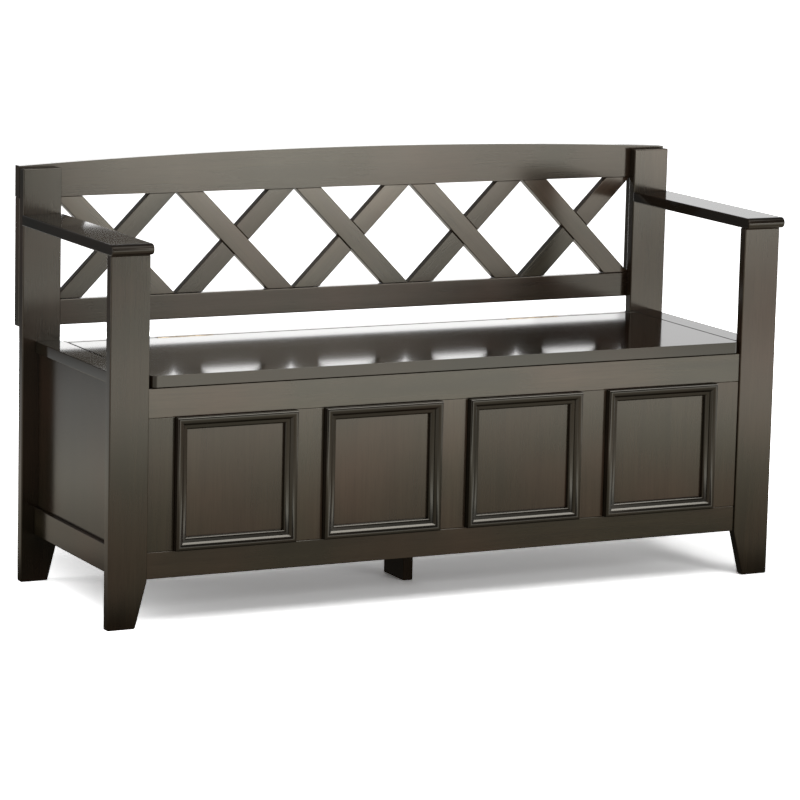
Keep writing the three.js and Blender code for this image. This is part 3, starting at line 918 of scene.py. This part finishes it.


# ---- stage, light and camera

# The floor carries painted light: the camera sees it brightened by a colour above white and by a glow that
# clears it to white away from the bench and on the left; reflections see a glow with a painted shadow beside
# the bench and a painted pool of light in front.
stageLook = {
    "size": 40.0, "cameraGain": 2.4, "glowFrom": 0.10, "glowBy": 0.65,
    "glowLeft": ((-0.70, 1.2), (-0.45, 0.0)),
    "front": ((0.0, 0.06), (0.30, 0.72), (1.0, 1.2), (2.2, 1.1)),
    "frontHot": ((0.75, 0.0), (2.1, 3.2), (3.0, 1.3), (4.0, 0.2)),
    "behind": ((0.0, 0.04), (0.30, 0.50), (0.9, 0.85), (1.6, 0.70), (2.8, 0.12)),
    "frontToBack": ((-0.4, 1.0), (0.4, 0.0)),
    "hotAcross": ((-0.8, 0.0), (0.3, 1.0), (1.2, 1.0), (2.3, 0.62)),
    "warm": (1.0, 0.93, 0.78), "cool": (0.97, 1.0, 1.0), "coolShare": ((0.3, 0.0), (2.2, 1.0)),
}


# A chain of smooth steps through (distance, value) pairs.
def smoothChain(tree, distance, pairs):
    total = pairs[0][1]
    for (start, before), (end, after) in zip(pairs, pairs[1:]):
        step = addNode(tree, "ShaderNodeMapRange", interpolation_type="SMOOTHSTEP")
        step.inputs["From Min"].default_value = start
        step.inputs["From Max"].default_value = end
        step.inputs["To Max"].default_value = after - before
        tree.links.new(distance, step.inputs["Value"])
        total = mathNode(tree, "ADD", step.outputs["Result"], total)
    return total


# Pale paper: the camera sees it lit, with soft shadows near the bench, and a painted glow makes it clear
# white further out and lighter on the left.
# Reflections see a painted glow: dim beside the bench as a painted shadow, and bright in front of it as a
# painted pool of light.
def makeGlowingPaper():
    look = stageLook
    material = bpy.data.materials.new("paperWithPaintedGlow")
    material.use_nodes = True
    tree = material.node_tree
    tree.nodes.clear()
    place = addNode(tree, "ShaderNodeSeparateXYZ")
    tree.links.new(addNode(tree, "ShaderNodeTexCoord").outputs["Object"], place.inputs[0])
    high = cadBox[1]

    # the square of how far a place lies outside the bench's outline along one axis
    def outsideSquared(axis, edge):
        past = mathNode(tree, "SUBTRACT", mathNode(tree, "ABSOLUTE", place.outputs[axis]), edge)
        return mathNode(tree, "POWER", mathNode(tree, "MAXIMUM", past, 0.0), 2.0)

    squares = mathNode(tree, "ADD", outsideSquared("X", high.x), outsideSquared("Y", high.y))
    distance = mathNode(tree, "SQRT", squares)
    lit = addNode(tree, "ShaderNodeBsdfDiffuse")
    lit.inputs["Color"].default_value = (look["cameraGain"],) * 3 + (1,)
    # painted light: a glow that turns the floor clear white further out and lightens its left side
    clear = addNode(tree, "ShaderNodeEmission")
    further = smoothChain(tree, distance, ((look["glowFrom"], 0.0), (look["glowBy"], 1.0)))
    leftward = smoothChain(tree, place.outputs["X"], look["glowLeft"])
    tree.links.new(mathNode(tree, "ADD", further, leftward), clear.inputs["Strength"])
    seen = addNode(tree, "ShaderNodeAddShader")
    tree.links.new(lit.outputs[0], seen.inputs[0])
    tree.links.new(clear.outputs[0], seen.inputs[1])
    # painted pool of light in front of the bench; next to the bench the glow is dimmed as a painted shadow
    hotSide = smoothChain(tree, place.outputs["X"], look["hotAcross"])
    hot = mathNode(tree, "MULTIPLY", smoothChain(tree, distance, look["frontHot"]), hotSide)
    front = mathNode(tree, "ADD", smoothChain(tree, distance, look["front"]), hot)
    behind = smoothChain(tree, distance, look["behind"])
    isFront = smoothChain(tree, place.outputs["Y"], look["frontToBack"])
    lead = mathNode(tree, "MULTIPLY", mathNode(tree, "SUBTRACT", front, behind), isFront)
    glow = addNode(tree, "ShaderNodeEmission")
    tree.links.new(mathNode(tree, "ADD", behind, lead), glow.inputs["Strength"])
    # the painted glow is warm near the bench and cool further out
    coolShare = smoothChain(tree, distance, look["coolShare"])
    tree.links.new(mixColour(tree, coolShare, look["warm"], look["cool"]), glow.inputs["Color"])
    chosen = addNode(tree, "ShaderNodeMixShader")
    tree.links.new(addNode(tree, "ShaderNodeLightPath").outputs["Is Camera Ray"], chosen.inputs[0])
    tree.links.new(glow.outputs[0], chosen.inputs[1])
    tree.links.new(seen.outputs[0], chosen.inputs[2])
    tree.links.new(chosen.outputs[0], addNode(tree, "ShaderNodeOutputMaterial").inputs[0])
    return material


def makeFloor():
    mesh = bpy.data.meshes.new("floor")
    half = stageLook["size"] / 2
    corners = [(-half, -half, 0), (half, -half, 0), (half, half, 0), (-half, half, 0)]
    mesh.from_pydata(corners, [], [(0, 1, 2, 3)])
    mesh.materials.append(makeGlowingPaper())
    floor = bpy.data.objects.new("floor", mesh)
    bpy.context.scene.collection.objects.link(floor)


# Soft panels: place of the middle, the way it faces, width, height and brightness.
lightLook = {
    "overheadFront": ((0.0, -1.6, 2.6), (0.0, 0.15, -1.0), 4.0, 1.8, 1.8),
    "overheadStrip": ((1.2, -0.9, 2.5), (0.0, 0.1, -1.0), 3.0, 1.5, 7.5),
    "keyLow": ((1.8, -4.2, 0.4), (0.0, 1.0, 0.0), 1.2, 0.8, 7.5),
    "keyHigh": ((1.8, -4.2, 1.7), (0.0, 1.0, 0.0), 1.2, 1.8, 5.3),
    "keySide": ((3.2, -4.2, 0.4), (0.0, 1.0, 0.0), 1.6, 0.8, 5.5),
    "fillLeft": ((-1.0, -4.2, 1.7), (0.0, 1.0, 0.0), 2.0, 1.8, 1.65),
    "sideRight": ((3.2, -1.6, 1.0), (-1.0, 0.0, 0.0), 3.2, 2.0, 1.0),
    "sideLeft": ((-3.0, 0.9, 0.8), (1.0, 0.0, 0.0), 1.4, 1.6, 3.0),
    "backdrop": ((0.64, 2.6, 0.70), (0.0, -1.0, 0.0), 2.08, 1.3, 2.0),
    "backdropRight": ((1.80, 2.6, 0.70), (0.0, -1.0, 0.0), 0.24, 1.3, 1.7),
    "backdropEnd": ((2.37, 2.6, 0.70), (0.0, -1.0, 0.0), 0.9, 1.3, 0.92),
}
keepOffMouldings = ("keyLow", "keyHigh", "keySide", "fillLeft")
glossOnly = ("overheadStrip",)
surroundings = {"seen": 1.0, "reflected": 0.24}


# A collection that keeps a light off the named pieces and lets it reach all others.
def lightExclusion(name, pieces):
    group = bpy.data.collections.new(name)
    for piece in pieces:
        group.objects.link(bpy.data.objects[piece])
    for member in group.collection_objects:
        member.light_linking.link_state = "EXCLUDE"
    return group


def makeLights():
    # the front lights leave the mouldings out, so that their hollows stay dark
    offMouldings = lightExclusion("offMouldings", ["panel_mouldings"])
    offArms = lightExclusion("offArms", ["left_armrest_board", "right_armrest_board"])
    for name, (place, facing, width, height, brightness) in lightLook.items():
        data = bpy.data.lights.new(name, "AREA")
        data.shape = "RECTANGLE"
        data.size, data.size_y = width, height
        data.energy = math.pi * width * height * brightness
        lamp = bpy.data.objects.new(name, data)
        lamp.location = place
        lamp.rotation_euler = Vector(facing).to_track_quat("-Z", "Y").to_euler()
        lamp.visible_camera = False
        lamp.visible_diffuse = name not in glossOnly
        if name in keepOffMouldings:
            lamp.light_linking.receiver_collection = offMouldings
        if name in glossOnly:
            lamp.light_linking.receiver_collection = offArms
        bpy.context.scene.collection.objects.link(lamp)


def makeSurroundings():
    world = bpy.data.worlds.new("studio")
    world.use_nodes = True
    tree = world.node_tree
    isCamera = addNode(tree, "ShaderNodeLightPath").outputs["Is Camera Ray"]
    gain = surroundings["seen"] - surroundings["reflected"]
    strength = mathNode(tree, "MULTIPLY_ADD", isCamera, gain, surroundings["reflected"])
    sky = tree.nodes["Background"]
    sky.inputs["Color"].default_value = (1, 1, 1, 1)
    tree.links.new(strength, sky.inputs["Strength"])
    bpy.context.scene.world = world
    bpy.context.scene.view_settings.view_transform = "Standard"


cameraLook = {
    "azimuth": -26.793, "elevation": 9.928, "roll": 1.366,
    "target": (-0.00114, -0.002, 0.3031), "distance": 6.46819, "lens": 173.33, "sensor": 36.0,
}


def makeCamera():
    azimuth, elevation, roll = (
        math.radians(cameraLook[angle]) for angle in ("azimuth", "elevation", "roll"))
    reach = math.cos(elevation)
    back = Vector((math.sin(azimuth) * reach, -math.cos(azimuth) * reach, math.sin(elevation)))
    level = Vector((math.cos(azimuth), math.sin(azimuth), 0))
    upright = back.cross(level)
    right = level * math.cos(roll) + upright * math.sin(roll)
    up = upright * math.cos(roll) - level * math.sin(roll)
    data = bpy.data.cameras.new("camera")
    data.lens = cameraLook["lens"]
    data.sensor_width = cameraLook["sensor"]
    camera = bpy.data.objects.new("camera", data)
    place = Vector(cameraLook["target"]) + back * cameraLook["distance"]
    camera.matrix_world = Matrix.Translation(place) @ Matrix((right, up, back)).transposed().to_4x4()
    bpy.context.scene.collection.objects.link(camera)
    bpy.context.scene.camera = camera


makeFloor()
makeLights()
makeSurroundings()
makeCamera()
print("stage, lights and camera set")
